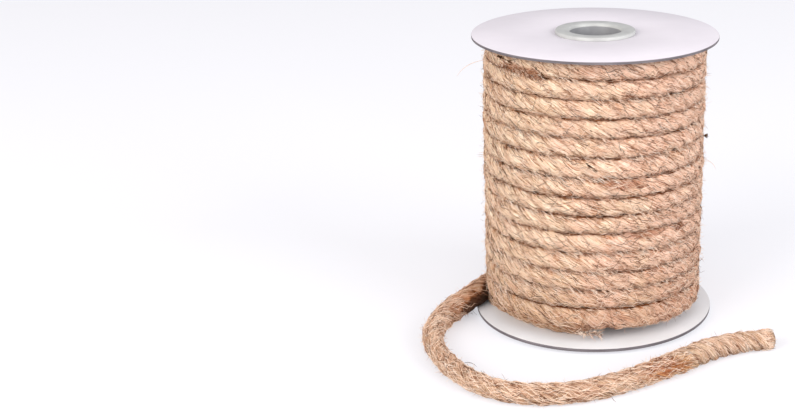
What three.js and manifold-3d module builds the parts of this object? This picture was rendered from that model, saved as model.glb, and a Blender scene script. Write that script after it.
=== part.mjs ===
// A small spool of twisted jute rope, standing on its end, with the rope's loose end lying in front of it.
// Millimetres, +Z up. The origin is the centre of the base, on the surface that the spool stands on.
// An angle round the spool is counted in turns of the rope: whole numbers are at the front (-Y), and the
// count grows anticlockwise as seen from above, the way in which the rope runs down the roll.

import * as THREE from 'three';
import { mergeVertices } from 'three/addons/utils/BufferGeometryUtils.js';
import Module from 'manifold-3d';

const wasm = await Module();
wasm.setup();

// Spool
const spoolHeight = 88.6;
const flangeRadius = 36.5;
const boardThickness = 1.0;
const boreRadius = 7.7;
const sleeveWall = 1.6;
const lipRadius = 11.9;
const lipHeight = 0.8;
const lipRounding = 0.45;

// Rope
const ropeRadius = 2.8;
const strandDip = 0.55;
const layLength = 19;

// Wound roll
const crownRadius = 33;
const grooveDepth = 1.7;
const shoulderDrop = 0.4;
const innerCrownRadius = 28;
const tuckedCrownRadius = 31;
const shadedRadius = 26;
const evenPitch = 5.6;
const levelShare = 0.6;

// Gap between pieces that touch
const gap = 0.3;

// Facets
const flangeSides = 80;
const hubSides = 40;
const rollSides = 60;
const rowsPerTurn = 4;
const ropeSides = 12;

const sleeveRadius = boreRadius + sleeveWall;
const lowBoardTop = lipHeight + gap + boardThickness;
const highBoardBottom = spoolHeight - lowBoardTop;

// Heights of the grooves over each turn at the front of the roll, from the top board down
const frontGrooves = [86.4, 81, 75.4, 69.9, 64.4, 58.6, 52.4, 46.8, 41.4, 36, 30, 24, 18.4, 13.3, 6.5];

// Where things happen on the way down, in turns
const outerStart = -0.19;
const outerEnd = 13.667;
const tuckedBulgeEnd = 13.79;
const tuckedLevel = 13.87;
const tuckedEnd = 14.02;

// Route of the loose end's middle, from the roll over the low board's rim, round to the cut end in front
const looseEndRoute = [
  [-26.2, 15.1, 5.5],
  [-31, 6.8, 5.5],
  [-35, -0.3, 5.4],
  [-38.9, -6.8, 4.7],
  [-43, -11.8, 3.6],
  [-46, -18.4, 2.95],
  [-47.4, -27, 2.85],
  [-46.2, -35.8, 2.85],
  [-42.6, -45.1, 2.85],
  [-37.6, -53.4, 2.85],
  [-31.6, -60.2, 2.85],
  [-24, -65, 2.85],
  [-14.4, -66.7, 2.85],
  [-5.4, -65.5, 2.85],
  [3, -62.2, 2.85],
  [15.6, -53.6, 2.85],
  [29.3, -41.6, 2.85],
  [36.1, -36.5, 2.85],
  [44, -32.6, 2.85],
  [52.6, -30.4, 2.85],
];

const paperboard = new THREE.MeshStandardMaterial({ color: 0xf0ecef, roughness: 0.75, metalness: 0 });
const hubPlastic = new THREE.MeshStandardMaterial({ color: 0xd7d8d3, roughness: 0.45, metalness: 0 });
const jute = new THREE.MeshStandardMaterial({ color: 0xd4ab8c, roughness: 0.95, metalness: 0 });

// A closed profile of [radius, height] points, turned about the Z axis
function turnedSolid(profile, sides) {
  const points = profile.map(([radius, height]) => new THREE.Vector2(radius, height));
  points.push(points[0].clone());
  return new THREE.LatheGeometry(points, sides).rotateX(Math.PI / 2);
}

function ringSolid(innerRadius, outerRadius, low, high, sides) {
  return turnedSolid([[innerRadius, low], [outerRadius, low], [outerRadius, high], [innerRadius, high]], sides);
}

// One half of the hub: a lip with rounded edges, and a sleeve that reaches to the middle of the spool
function bushingProfile() {
  const lipUnderside = spoolHeight - lipHeight;
  const sleeveEnd = spoolHeight / 2 + gap / 2;
  return [
    [boreRadius, sleeveEnd],
    [sleeveRadius, sleeveEnd],
    [sleeveRadius, lipUnderside],
    [lipRadius, lipUnderside],
    [lipRadius, spoolHeight - lipRounding],
    [lipRadius - 0.3 * lipRounding, spoolHeight - 0.3 * lipRounding],
    [lipRadius - lipRounding, spoolHeight],
    [boreRadius + lipRounding, spoolHeight],
    [boreRadius + 0.3 * lipRounding, spoolHeight - 0.3 * lipRounding],
    [boreRadius, spoolHeight - lipRounding],
  ];
}

function mirroredProfile(profile) {
  return profile.map(([radius, height]) => [radius, spoolHeight - height]).reverse();
}

// Height of the groove over the rope after so many turns; it falls least at the front and most at the back
function grooveHeight(turns) {
  const last = frontGrooves.length - 1;
  const whole = Math.floor(turns);
  const share = turns - whole;
  const fallen = share - levelShare * Math.sin(2 * Math.PI * share) / (2 * Math.PI);
  const atFront = (n) => {
    if (n < 0) return frontGrooves[0] - n * evenPitch;
    if (n > last) return frontGrooves[last] - (n - last) * evenPitch;
    return frontGrooves[n];
  };
  return THREE.MathUtils.lerp(atFront(whole), atFront(whole + 1), fallen);
}

// How far the rope stands out: the outer layer, or what shows of the layer beneath it above and below
function crownAt(turns) {
  if (turns < outerStart) return innerCrownRadius;
  if (turns < outerEnd) return crownRadius;
  if (turns > tuckedEnd) return shadedRadius;
  const settled = THREE.MathUtils.smoothstep(turns, tuckedBulgeEnd, tuckedLevel);
  return THREE.MathUtils.lerp(tuckedCrownRadius, innerCrownRadius, settled);
}

// A point of the roll's outside, across the width of a turn from its upper groove (0) to its lower one (1)
function pointOnRoll(turns, across) {
  const angle = 2 * Math.PI * turns - Math.PI / 2;
  const height = THREE.MathUtils.lerp(grooveHeight(turns), grooveHeight(turns + 1), across);
  let radius = crownAt(turns);
  if (across === 0) radius = Math.min(crownAt(turns - 1), radius) - grooveDepth;
  if (across > 0 && across !== 0.5) radius -= shoulderDrop;
  return new THREE.Vector3(radius * Math.cos(angle), radius * Math.sin(angle), height);
}

// The ridged outside as one long helix, closed at both ends, from above the roll to below it
function ridgedCore() {
  const firstTurn = -3;
  const turnCount = frontGrooves.length + 5;
  const rows = turnCount * rowsPerTurn;
  const vertex = (side, row) => side * (rows + 1) + row;
  const nextSide = (side, row) => (
    side + 1 < rollSides ? vertex(side + 1, row) : vertex(0, row + rowsPerTurn)
  );
  const points = [];
  const faces = [];
  for (let side = 0; side < rollSides; side += 1) {
    for (let row = 0; row <= rows; row += 1) {
      const turns = firstTurn + Math.floor(row / rowsPerTurn) + side / rollSides;
      points.push(pointOnRoll(turns, (row % rowsPerTurn) / rowsPerTurn));
    }
  }
  for (let side = 0; side < rollSides; side += 1) {
    const usedRows = side + 1 < rollSides ? rows : rows - rowsPerTurn;
    for (let row = 0; row < usedRows; row += 1) {
      faces.push(vertex(side, row), vertex(side, row + 1), nextSide(side, row + 1));
      faces.push(vertex(side, row), nextSide(side, row + 1), nextSide(side, row));
    }
  }
  const topLoop = [];
  const bottomLoop = [];
  for (let side = 0; side < rollSides; side += 1) {
    topLoop.push(vertex(side, 0));
    bottomLoop.unshift(vertex(side, rows));
  }
  for (let row = rowsPerTurn; row > 0; row -= 1) {
    topLoop.push(vertex(0, row));
    bottomLoop.push(vertex(rollSides - 1, rows - row));
  }
  closeLoop(topLoop, spoolHeight + 3 * evenPitch, points, faces);
  closeLoop(bottomLoop, -3 * evenPitch, points, faces);
  const geometry = new THREE.BufferGeometry().setFromPoints(points);
  geometry.setIndex(faces);
  return geometry;
}

// A fan of faces from a point on the axis to a loop of vertices
function closeLoop(loop, height, points, faces) {
  const centre = points.length;
  points.push(new THREE.Vector3(0, 0, height));
  loop.forEach((corner, i) => faces.push(centre, corner, loop[(i + 1) % loop.length]));
}

// A rope's route whose frames turn with the strands' lay
class TwistedRoute extends THREE.CatmullRomCurve3 {
  computeFrenetFrames(steps, closed) {
    const frames = super.computeFrenetFrames(steps, closed);
    const twist = 2 * Math.PI * this.getLength() / layLength / steps;
    for (let i = 0; i <= steps; i += 1) {
      frames.normals[i].applyAxisAngle(frames.tangents[i], i * twist);
      frames.binormals[i].applyAxisAngle(frames.tangents[i], i * twist);
    }
    return frames;
  }
}

// Section of a rope of three strands
function ropeSection() {
  const points = [];
  for (let i = 0; i < ropeSides; i += 1) {
    const angle = 2 * Math.PI * i / ropeSides;
    const radius = ropeRadius - strandDip * (0.5 - 0.5 * Math.cos(3 * angle));
    points.push(new THREE.Vector2(radius * Math.cos(angle), radius * Math.sin(angle)));
  }
  return new THREE.Shape(points);
}

function routePoints() {
  return looseEndRoute.map(([x, y, z]) => new THREE.Vector3(x, y, z));
}

function looseEndSolid() {
  const route = new TwistedRoute(routePoints());
  const steps = Math.round(ropeSides * route.getLength() / layLength);
  return new THREE.ExtrudeGeometry(ropeSection(), { steps, extrudePath: route });
}

// Room for the loose end where it leaves the roll
function looseEndRoom() {
  const [first, second, third, fourth] = routePoints();
  const back = first.clone().sub(second).setLength(gap);
  const route = new THREE.CatmullRomCurve3([first.clone().add(back), second, third, fourth]);
  const circle = new THREE.Shape().absarc(0, 0, ropeRadius + gap, 0, 2 * Math.PI);
  return new THREE.ExtrudeGeometry(circle, { steps: 12, curveSegments: 16, extrudePath: route });
}

function toManifold(geometry) {
  const bare = geometry.clone();
  bare.deleteAttribute('normal');
  bare.deleteAttribute('uv');
  const merged = mergeVertices(bare);
  const mesh = new wasm.Mesh({
    numProp: 3,
    vertProperties: new Float32Array(merged.attributes.position.array),
    triVerts: new Uint32Array(merged.index.array),
  });
  return new wasm.Manifold(mesh);
}

function toGeometry(manifold) {
  const mesh = manifold.getMesh();
  const geometry = new THREE.BufferGeometry();
  geometry.setAttribute('position', new THREE.Float32BufferAttribute(mesh.vertProperties, 3));
  geometry.setIndex(new THREE.Uint32BufferAttribute(mesh.triVerts, 1));
  geometry.computeVertexNormals();
  return geometry;
}

// The wound rope as one solid: its ridged outside between the boards, round the hub's sleeves
function rollSolid() {
  const low = lowBoardTop + gap;
  const high = highBoardBottom - gap;
  const space = ringSolid(sleeveRadius + gap, flangeRadius, low, high, hubSides);
  const roll = toManifold(ridgedCore()).intersect(toManifold(space));
  return toGeometry(roll.subtract(toManifold(looseEndRoom())));
}

function piece(name, geometry, material) {
  const mesh = new THREE.Mesh(geometry, material);
  mesh.name = name;
  return mesh;
}

function flange(name, low) {
  const geometry = ringSolid(sleeveRadius + gap, flangeRadius, low, low + boardThickness, flangeSides);
  return piece(name, geometry, paperboard);
}

const spool = new THREE.Group();
spool.add(flange('bottom_flange', lipHeight + gap));
spool.add(flange('top_flange', highBoardBottom));
spool.add(piece('bottom_bushing', turnedSolid(mirroredProfile(bushingProfile()), hubSides), hubPlastic));
spool.add(piece('top_bushing', turnedSolid(bushingProfile(), hubSides), hubPlastic));
spool.add(piece('rope_roll', rollSolid(), jute));
spool.add(piece('loose_end', looseEndSolid(), jute));

export default spool;
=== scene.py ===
import math
import random
from collections import namedtuple

import bpy
from mathutils import Matrix, Vector, noise


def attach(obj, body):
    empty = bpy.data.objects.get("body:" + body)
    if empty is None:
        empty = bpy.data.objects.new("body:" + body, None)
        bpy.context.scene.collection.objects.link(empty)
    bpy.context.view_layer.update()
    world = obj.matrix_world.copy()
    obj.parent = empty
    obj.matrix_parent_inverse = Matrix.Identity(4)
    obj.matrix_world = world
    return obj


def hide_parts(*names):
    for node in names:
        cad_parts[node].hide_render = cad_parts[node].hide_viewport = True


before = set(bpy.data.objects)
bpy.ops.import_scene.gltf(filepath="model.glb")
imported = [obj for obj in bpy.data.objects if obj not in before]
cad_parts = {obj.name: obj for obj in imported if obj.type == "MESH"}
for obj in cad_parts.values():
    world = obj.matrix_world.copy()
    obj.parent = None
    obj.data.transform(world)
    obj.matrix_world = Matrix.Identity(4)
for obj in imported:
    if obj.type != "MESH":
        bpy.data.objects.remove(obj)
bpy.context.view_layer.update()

mm = 0.001
seatGap = 0.05 * mm  # left between pieces that touch

# A small spool of three-strand jute rope standing on its end, its loose end laid round the front.
# Everything is in metres in the spool's own frame, with the spool's axis on Z.


# Camera, first, because the loose end is judged by what it sees

view = {
    "distance": 0.4369,  # from the point aimed at, on the spool's axis
    "aimHeight": 0.0333,
    "elevation": 19.56,  # degrees
    "roll": 0.38,  # degrees
    "lens": 64.36,  # on a 36 mm sensor
    "imageWidth": 795,
    "axisPixel": 594.15,  # column of the image that the spool's axis falls on
}


def addCamera():
    tilt, roll = math.radians(view["elevation"]), math.radians(view["roll"])
    back = Vector((0, -math.cos(tilt), math.sin(tilt)))
    right = Vector((1, 0, 0))
    up = back.cross(right)
    turnedRight = right * math.cos(roll) + up * math.sin(roll)
    turnedUp = up * math.cos(roll) - right * math.sin(roll)
    data = bpy.data.cameras.new("camera")
    data.lens = view["lens"]
    data.shift_x = 0.5 - view["axisPixel"] / view["imageWidth"]
    data.clip_start, data.clip_end = 0.01, 20
    camera = bpy.data.objects.new("camera", data)
    bpy.context.scene.collection.objects.link(camera)
    camera.matrix_world = Matrix((turnedRight, turnedUp, back)).transposed().to_4x4()
    camera.location = Vector((0, 0, view["aimHeight"])) + back * view["distance"]
    bpy.context.scene.camera = camera


addCamera()
print("camera set")


# Rope

rope = {
    "woundRadius": 0.0029,  # before its neighbours press it
    "squareness": 3.6,  # 2 is round, and more is fuller where its neighbours press it
    "kneeAt": 0.8,  # share of a turn's half height past which it is pressed flatter
    "kneeSlope": 0.85,
    "roundsWithin": 0.008,  # it grows round again in the last stretch before it leaves the roll
    "looseRadius": 0.0028,
    "strandDip": 0.0004,  # how far the grooves between its strands go in
    "looseStrandDip": 0.0004,
    "tipStrandDip": 0.0006,
    "lay": 0.0165,  # length of one full twist
    "tipLay": 0.0115,  # and near the cut end, which is twisted tighter
    "tightLength": 0.034,
    "tightensWithin": 0.008,
    "layWander": 0.55,  # radians
    "wandersPerMetre": 45,
    "step": 0.0011,  # between the rings of points along it
    "pointsPerStrand": 8,
    "fibreTurn": 0.5,  # how far the fibres turn against their strand in one lay, as a share of it
    "lumps": 0.00026,
    "lumpsPerMetre": 260,
    "tanSide": 9.0,  # how much tanner the roll is for each metre towards +X
    "looseTan": -0.12,
    "tipDeeperShade": 0.25,  # how much deeper the painted shade in the grooves between its strands is near the cut
    "cutBrown": 0.6,  # and the same for its cut ends, which take that painted shade colour
}

shading = {  # painted shade: how dark the rope's colour is made where little light gets in, from 0 for not at all
    "turns": 0.75,  # deep between two turns
    "turnsFrom": (0.79, 0.98),  # shares of a turn's half height
    "exit": 0.95,  # where the loose end leaves the roll, as the roll's painted shadow
    "exitLength": 0.0435,
    "exitStarts": (0, 0.35),  # shares of that length
    "exitEnds": (0.52, 1.02),
    "towardsRoll": 0.45,  # how much darker the side towards the roll is
    "underneath": 0.4,
    "tucked": 0.9,  # between the last turn and the end of the layer beneath
    "tuckedBelow": 0.0062,  # height under which that end shows
    "tuckedStart": (0.55, -0.25),  # share of the half height, behind and at the front
    "tuckedBand": 0.3,
}

winding = {
    "outerRadius": 0.03005,  # middle of the rope in the outer layer
    "innerRadius": 0.0252,  # and in the layer beneath
    "wander": 0.0003,
    "wandersPerTurn": 4.1,
    "tuckedRadius": 0.0302,  # where the layer beneath comes out under the last turn at the left
    "leftSwell": 0.0006,  # how much fuller the roll is on its left side, low down
    "swellsOver": (-1, 7),  # in turns
    "evensOut": 0.3,  # in turns before its end
    "grooves": [  # heights of the grooves at the front, from the top board down
        0.0864, 0.081, 0.0754, 0.0699, 0.0644, 0.0586, 0.0524, 0.0468,
        0.0414, 0.036, 0.03, 0.024, 0.0184, 0.013, 0.0063, 0.0015,
    ],
    "pitch": 0.0056,
    "lastSag": 0.00095,  # how far the last turn hangs lower at the front right
    "sagStarts": (13.99, 14.13),  # in turns
    "sagEnds": (14.22, 14.5),
    "levelShare": 0.6,  # how much less it falls at the front than at the back
    "outerStart": -0.42,  # in turns from the front, anticlockwise seen from above
    "outerReached": -0.17,  # where it has climbed to the outer layer
    "outerEnd": 13.667,
    "innerStart": -0.95,
    "comesOut": (13.72, 13.77),  # where the layer beneath comes out
    "backIn": 0.17,  # turns in which it goes back in
    "innerEnd": 14.01,
    "innerStep": 0.0018,
    "innerTaper": 0.006,  # over which its cut end thins out
    "innerThinned": 0.6,
    "turnStep": 0.005,
}

looseRoute = [  # middle of the loose end, from the roll at the back left to its cut at the front right
    (-0.0262, 0.0151, 0.0055),
    (-0.0310, 0.0068, 0.0055),
    (-0.0350, -0.0003, 0.0054),
    (-0.0389, -0.0068, 0.0047),
    (-0.0430, -0.0118, 0.0036),
    (-0.0460, -0.0184, 0.00295),
    (-0.0474, -0.0270, 0.00285),
    (-0.0462, -0.0358, 0.00285),
    (-0.0426, -0.0451, 0.00285),
    (-0.0376, -0.0534, 0.00285),
    (-0.0316, -0.0602, 0.00285),
    (-0.0240, -0.0650, 0.00285),
    (-0.0144, -0.0667, 0.00285),
    (-0.0054, -0.0655, 0.00285),
    (0.0030, -0.0622, 0.00285),
    (0.0156, -0.0536, 0.00285),
    (0.0293, -0.0416, 0.00285),
    (0.0361, -0.0365, 0.00285),
    (0.0440, -0.0326, 0.00285),
    (0.0526, -0.0304, 0.00285),
]

boards = {
    "radius": 0.0365,
    "upperThickness": 0.0008,
    "lowerThickness": 0.001,
    "lowTop": 0.0021,  # heights of the two faces that the rope lies between
    "highBottom": 0.0867,
}


def mix(a, b, share):
    return a + (b - a) * share


def smoothShare(low, high, value):
    share = min(1, max(0, (value - low) / (high - low)))
    return share * share * (3 - 2 * share)


def grooveHeight(turns):
    grooves, pitch = winding["grooves"], winding["pitch"]
    last = len(grooves) - 1

    def atFront(n):
        if n < 0:
            return grooves[0] - n * pitch
        if n > last:
            return grooves[last] - (n - last) * pitch
        return grooves[n]

    whole = math.floor(turns)
    share = turns - whole
    fallen = share - winding["levelShare"] * math.sin(2 * math.pi * share) / (2 * math.pi)
    sagging = smoothShare(*winding["sagStarts"], turns) * (1 - smoothShare(*winding["sagEnds"], turns))
    return mix(atFront(whole), atFront(whole + 1), fallen) - sagging * winding["lastSag"]


def pointOnTurn(turns, radius):
    angle = 2 * math.pi * turns - math.pi / 2
    height = (grooveHeight(turns) + grooveHeight(turns + 1)) / 2
    return Vector((radius * math.cos(angle), radius * math.sin(angle), height))


def halfHeight(turns):  # of the wound rope between its neighbours
    return (grooveHeight(turns) - grooveHeight(turns + 1)) / 2


def reachAt(turns):  # how much further out than usual the outer layer lies
    wander = noise.noise(Vector((turns * winding["wandersPerTurn"], 3.7, 0))) * winding["wander"]
    swell = smoothShare(*winding["swellsOver"], turns) * max(0, -math.sin(2 * math.pi * turns))
    settled = smoothShare(0, winding["evensOut"], winding["outerEnd"] - turns)
    return (wander + swell * winding["leftSwell"]) * settled


def outerPoints():
    points, heights = [], []
    turns = winding["outerStart"]
    while turns < winding["outerEnd"] - 0.004:  # the loose end's first point follows it
        out = smoothShare(winding["outerStart"], winding["outerReached"], turns)
        radius = mix(winding["innerRadius"], winding["outerRadius"], out) + reachAt(turns)
        point = pointOnTurn(turns, radius)
        top = boards["highBottom"] - seatGap - halfHeight(turns)
        points.append(Vector((point.x, point.y, min(top, point.z))))
        heights.append(halfHeight(turns))
        turns += winding["turnStep"]
    return points, heights


def innerPoints():
    points, heights = [], []
    turns = winding["innerStart"]
    while turns < winding["innerEnd"]:
        backIn = min(1, max(0, (turns - winding["comesOut"][1]) / winding["backIn"]))
        out = smoothShare(*winding["comesOut"], turns) * (1 - backIn) ** 3
        point = pointOnTurn(turns, mix(winding["innerRadius"], winding["tuckedRadius"], out))
        half = min(halfHeight(turns), winding["pitch"] / 2)
        lowest, highest = boards["lowTop"] + half + seatGap, boards["highBottom"] - half - seatGap
        points.append(Vector((point.x, point.y, min(highest, max(lowest, point.z)))))
        heights.append(half)
        turns += winding["turnStep"]
    return points, heights


def smoothRoute(corners, perSpan=16):  # a centripetal curve through the corners
    line = [Vector(c) for c in corners]
    line = [2 * line[0] - line[1]] + line + [2 * line[-1] - line[-2]]
    points = []
    for a, b, c, d in zip(line, line[1:], line[2:], line[3:]):
        t1 = (b - a).length ** 0.5
        t2 = t1 + (c - b).length ** 0.5
        t3 = t2 + (d - c).length ** 0.5
        for i in range(perSpan):
            t = mix(t1, t2, i / perSpan)
            ab, bc = a.lerp(b, t / t1), b.lerp(c, (t - t1) / (t2 - t1))
            cd = c.lerp(d, (t - t2) / (t3 - t2))
            abc, bcd = ab.lerp(bc, t / t2), bc.lerp(cd, (t - t1) / (t3 - t1))
            points.append(abc.lerp(bcd, (t - t1) / (t2 - t1)))
    return points + [line[-2]]


def evenSteps(points, heights, step):  # points at even distances, and their half heights
    along = [0]
    for a, b in zip(points, points[1:]):
        along.append(along[-1] + (b - a).length)
    count = max(2, round(along[-1] / step))
    spaced, halves, i = [], [], 0
    for k in range(count + 1):
        target = along[-1] * k / count
        while i < len(points) - 2 and along[i + 1] < target:
            i += 1
        share = (target - along[i]) / (along[i + 1] - along[i])
        spaced.append(points[i].lerp(points[i + 1], share))
        halves.append(mix(heights[i], heights[i + 1], share))
    return spaced, halves


# A place along the rope, its directions, its length from the start and half of the height that it takes
# up between its neighbours, which is 0 on the loose end
ropeStation = namedtuple("ropeStation", "point tangent side other length half")


def stationsAlong(points, heights):  # their sides don't turn of themselves
    stations, length = [], 0
    side = Vector((0, 0, 1))
    for i, point in enumerate(points):
        ahead = points[min(i + 1, len(points) - 1)] - points[max(i - 1, 0)]
        tangent = ahead.normalized()
        side = (side - tangent * side.dot(tangent)).normalized()
        if i:
            length += (point - points[i - 1]).length
        stations.append(ropeStation(point, tangent, side, tangent.cross(side), length, heights[i]))
    return stations


def tipShare(length):  # 1 in the stretch near the cut end that is twisted tighter
    return smoothShare(0, rope["tightensWithin"], length - wholeLength + rope["tightLength"])


def strandTurn(length):  # how far the strands have turned round the rope
    tight, within = max(0, length - wholeLength + rope["tightLength"]), rope["tightensWithin"]
    tight = min(tight, within) ** 2 / (2 * within) + max(0, tight - within)
    turns = length / rope["lay"] + tight * (1 / rope["tipLay"] - 1 / rope["lay"])
    wander = noise.noise(Vector((length * rope["wandersPerMetre"], 9.1, 0))) * rope["layWander"]
    return 2 * math.pi * turns + wander


def lobeReach(inStrand, radius, depth):  # outline of three strands pressed together
    dip = radius - depth
    x, y = dip * math.cos(math.pi / 3), dip * math.sin(math.pi / 3)
    middle = (x * x + y * y - radius * radius) / (2 * (x - radius))
    bend = radius - middle
    return middle * math.cos(inStrand) + math.sqrt(bend * bend - (middle * math.sin(inStrand)) ** 2)


def evenGirth(station):
    return 1


def restingOffset(point, offset):  # the loose end lies flat on the floor, and on the lower board
    away = math.hypot(point.x + offset.x, point.y + offset.y)
    lowest = seatGap if away > boards["radius"] + 0.7 * mm else boards["lowTop"] + 0.1 * mm
    offset.z = max(offset.z, lowest - point.z)
    return offset


def pressedOffset(station, direction, reach):  # a turn is pressed by its neighbours and the boards
    full = smoothShare(0, rope["roundsWithin"], exitLength - station.length)
    up, power = abs(direction.z), mix(2, rope["squareness"], full)
    outward = math.sqrt(max(0, 1 - up * up))
    offset = direction * reach / (up ** power + outward ** power) ** (1 / power)
    tall = offset.z * mix(1, station.half / rope["looseRadius"], full)
    knee = rope["kneeAt"] * station.half
    offset.z = math.copysign(min(abs(tall), knee + rope["kneeSlope"] * max(0, abs(tall) - knee)), tall)
    lowest, highest = boards["lowTop"] + seatGap, boards["highBottom"] - seatGap
    offset.z = min(highest, max(lowest, station.point.z + offset.z)) - station.point.z
    return offset


def skinOffset(station, angle, girth=evenGirth):  # from the rope's middle to its skin
    pressed, length = station.half > 0, station.length
    strand, rest = divmod((angle - strandTurn(length)) % (2 * math.pi), 2 * math.pi / 3)
    radius = (rope["woundRadius"] if pressed else rope["looseRadius"]) * girth(station)
    looseDip = mix(rope["looseStrandDip"], rope["tipStrandDip"], tipShare(length))
    reach = lobeReach(rest - math.pi / 3, radius, rope["strandDip"] if pressed else looseDip)
    reach += noise.noise(Vector((length * rope["lumpsPerMetre"], strand * 7.3, rest * 1.4))) * rope["lumps"]
    direction = station.side * math.cos(angle) + station.other * math.sin(angle)
    if pressed:
        return pressedOffset(station, direction, reach)
    return restingOffset(station.point, direction * reach)


def shadeAt(station, offset):
    if station.half > 0:
        return shading["turns"] * smoothShare(*shading["turnsFrom"], abs(offset.z) / station.half)
    # painted shadow of the roll on the loose end, darker on the side towards the roll and underneath
    along = (station.length - exitLength) / shading["exitLength"]
    exitShadow = smoothShare(*shading["exitStarts"], along) * (1 - smoothShare(*shading["exitEnds"], along))
    inward = -(offset.x * station.point.x + offset.y * station.point.y) / station.point.xy.length
    sides = shading["towardsRoll"] * inward - shading["underneath"] * offset.z
    return max(0, exitShadow * (shading["exit"] + sides / rope["looseRadius"]))


def tuckedShade(station, offset):  # the layer beneath is painted in shade, but for its end on the lower board
    if station.point.z > shading["tuckedBelow"]:
        return 1
    start = mix(*shading["tuckedStart"], max(0, -station.point.y / winding["innerRadius"]))
    return shading["tucked"] * smoothShare(start, start + shading["tuckedBand"], offset.z / station.half)


def ropeMesh(name, stations, girth=evenGirth, perStrand=None, shade=shadeAt):
    perStrand = perStrand or rope["pointsPerStrand"]
    around, rings = 3 * perStrand, len(stations)
    vertices, faces, uvs = [], [], []
    hollowShades, shades, tans = [], [], []  # how deep between strands for the painted shade there, how dark the painted shade between turns is, and how tan
    for station in stations:
        for k in range(around):
            angle = strandTurn(station.length) + 2 * math.pi * (k + 0.001) / around  # just past its corner
            offset = skinOffset(station, angle, girth)
            vertices.append(station.point + offset)
            deeper = 1 + rope["tipDeeperShade"] * tipShare(station.length)
            hollowShades.append(abs(2 * (k % perStrand) / perStrand - 1) * deeper)
            shades.append(shade(station, offset))
            tans.append(station.point.x * rope["tanSide"] if station.half > 0 else rope["looseTan"])
    for i in range(rings - 1):
        near, far = stations[i].length, stations[i + 1].length
        for k in range(around):
            following = (k + 1) % around
            faces.append((i * around + k, i * around + following,
                          (i + 1) * around + following, (i + 1) * around + k))
            for length, count in ((near, k), (near, k + 1), (far, k + 1), (far, k)):  # map in cm
                turned = count / around + rope["fibreTurn"] * length / rope["lay"]
                uvs.append((length * 100, 2 * math.pi * rope["looseRadius"] * 100 * turned))
    for ring, flip in ((0, True), (rings - 1, False)):  # its two ends
        centre = len(vertices)
        vertices.append(stations[ring].point.copy())
        hollowShades.append(rope["cutBrown"])
        shades.append(0)
        tans.append(0)
        for k in range(around):
            a, b = ring * around + k, ring * around + (k + 1) % around
            faces.append((centre, b, a) if flip else (centre, a, b))
            uvs += [(0, 0), (0.02 * k, 0.3), (0.02 * k + 0.02, 0.3)]
    return meshPiece(name, vertices, faces, uvs, {"hollowShade": hollowShades, "shade": shades, "tan": tans})


def meshPiece(name, vertices, faces, uvs, attributes=None):
    mesh = bpy.data.meshes.new(name)
    mesh.from_pydata(vertices, [], faces)
    layer = mesh.uv_layers.new(name="fibres")
    layer.data.foreach_set("uv", [x for uv in uvs for x in uv])
    for attribute, values in (attributes or {}).items():
        mesh.attributes.new(attribute, "FLOAT", "POINT").data.foreach_set("value", values)
    mesh.shade_smooth()
    piece = bpy.data.objects.new(name, mesh)
    bpy.context.scene.collection.objects.link(piece)
    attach(piece, "root")
    return piece


woundPoints, woundHeights = outerPoints()
loosePoints = smoothRoute(looseRoute)
wholePoints, wholeHeights = evenSteps(woundPoints + loosePoints,
                                      woundHeights + [0] * len(loosePoints), rope["step"])
stations = stationsAlong(wholePoints, wholeHeights)
wholeLength = stations[-1].length
exitPoint = Vector(looseRoute[0])
exitIndex = min(range(len(stations)), key=lambda i: (stations[i].point - exitPoint).length)

# The wound rope keeps its height up to where the loose end starts, so that no gap shows between them
meeting = [station._replace(half=woundHeights[-1]) for station in stations[exitIndex - 3:exitIndex + 1]]
woundStations = stations[:exitIndex - 3] + meeting[:-1]
looseStations = [station._replace(half=0) for station in stations[exitIndex:]]
exitLength = looseStations[0].length
looseLength = looseStations[-1].length - exitLength

# It is opened up where it leaves the roll and near its cut end, and drawn tight round its bend
looseGirths = [  # shares of its length, and how full it is there
    (0, 1.04), (0.08, 1.38), (0.17, 1.32), (0.25, 1.14), (0.33, 1.01), (0.5, 1.04),
    (0.7, 1.12), (0.86, 1.26), (0.95, 1.14), (1, 1.1),
]


def looseGirth(station):
    share = (station.length - exitLength) / looseLength
    for (start, low), (end, high) in zip(looseGirths, looseGirths[1:]):
        if share <= end:
            return mix(low, high, (share - start) / (end - start))
    return looseGirths[-1][1]


looseEnd = ropeMesh("looseEnd", looseStations, looseGirth)
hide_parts("loose_end")
print("loose end", round(looseLength, 4), "m")


def tuckedGirth(station):  # its cut end thins out on the lower board
    thinned = smoothShare(innerLength - winding["innerTaper"], innerLength, station.length)
    return 1 - winding["innerThinned"] * thinned


woundRope = ropeMesh("woundRope", woundStations + meeting[-1:])
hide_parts("rope_roll")
innerStations = stationsAlong(*evenSteps(*innerPoints(), winding["innerStep"]))
innerLength = innerStations[-1].length
innerRope = ropeMesh("innerRope", innerStations, tuckedGirth, 5, tuckedShade)
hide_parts("rope_roll")
print("wound rope", len(woundRope.data.polygons), "faces")


# Fibres on the rope: some lie along it, some stand off it, some hang in tufts

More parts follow.
